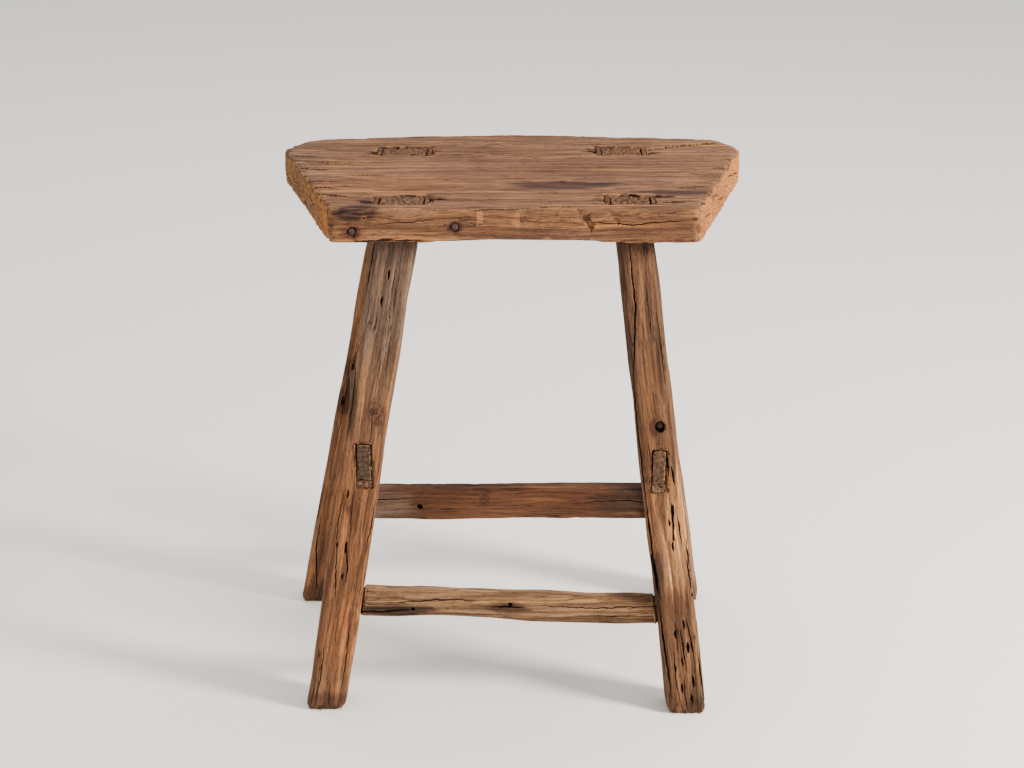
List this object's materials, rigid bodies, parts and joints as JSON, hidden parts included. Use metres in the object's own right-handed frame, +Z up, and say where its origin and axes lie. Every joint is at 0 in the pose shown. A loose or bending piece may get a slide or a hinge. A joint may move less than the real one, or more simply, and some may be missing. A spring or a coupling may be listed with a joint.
{
  "type": "milking stool",
  "caption": "Low rustic stool: thick wedge-shaped wooden seat on splayed legs, through-tenoned and wedged, tied by stretchers.",
  "frame": {"origin": "on the floor, in the middle of the stool's overall width and depth", "axes": "+Z up, square to the seat's top; +Y from the narrow front edge of the seat to its wide bowed back edge; +X to the right seen from the front"},
  "size_m": [0.4358, 0.3014, 0.48],
  "materials": {
    "seat": "dry weathered elm board, worn edges, dark stains and cracks",
    "leg": "dry weathered elm, rounded arrises, checks and worn feet",
    "stretcher": "dry weathered elm rail, partly planed, dark at the joints",
    "wedge": "dark end grain, hand cut",
    "nail": "rusty wrought iron"
  },
  "bodies": {
    "root": {"seat_board": "seat", "front_left_leg": "leg", "front_right_leg": "leg", "rear_left_leg": "leg", "rear_right_leg": "leg", "front_stretcher": "stretcher", "rear_stretcher": "stretcher", "left_stretcher": "stretcher", "right_stretcher": "stretcher", "front_left_outer_wedge": "wedge", "front_left_inner_wedge": "wedge", "front_right_outer_wedge": "wedge", "front_right_inner_wedge": "wedge", "rear_left_outer_wedge": "wedge", "rear_left_inner_wedge": "wedge", "rear_right_outer_wedge": "wedge", "rear_right_inner_wedge": "wedge", "left_stretcher_wedge": "wedge", "right_stretcher_wedge": "wedge", "seat_nail_left": "nail", "seat_nail_right": "nail", "leg_nail": "nail"}
  },
  "joints": []
}
